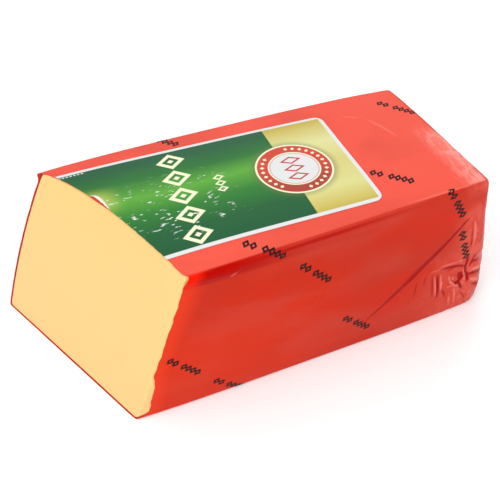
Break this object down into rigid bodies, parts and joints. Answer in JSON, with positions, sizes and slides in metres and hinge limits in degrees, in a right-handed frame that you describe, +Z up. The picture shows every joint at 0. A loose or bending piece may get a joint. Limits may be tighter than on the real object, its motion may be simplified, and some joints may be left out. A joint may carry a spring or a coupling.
{
  "type": "cheese block",
  "caption": "Loaf-shaped block of gouda in red shrink film, cut through at a slant, with a printed label on top.",
  "frame": {"origin": "middle of the underside of the bounding box", "axes": "+X along the block, from the cut end to the uncut end; -Y is the long side on which the cut is nearer the uncut end; +Z up"},
  "size_m": [0.252, 0.1058, 0.0929],
  "materials": {
    "cheese": "satin",
    "film": "gloss",
    "label": "satin"
  },
  "bodies": {
    "root": {"cheese_block": "cheese", "shrink_film": "film", "top_label": "label"}
  },
  "joints": []
}
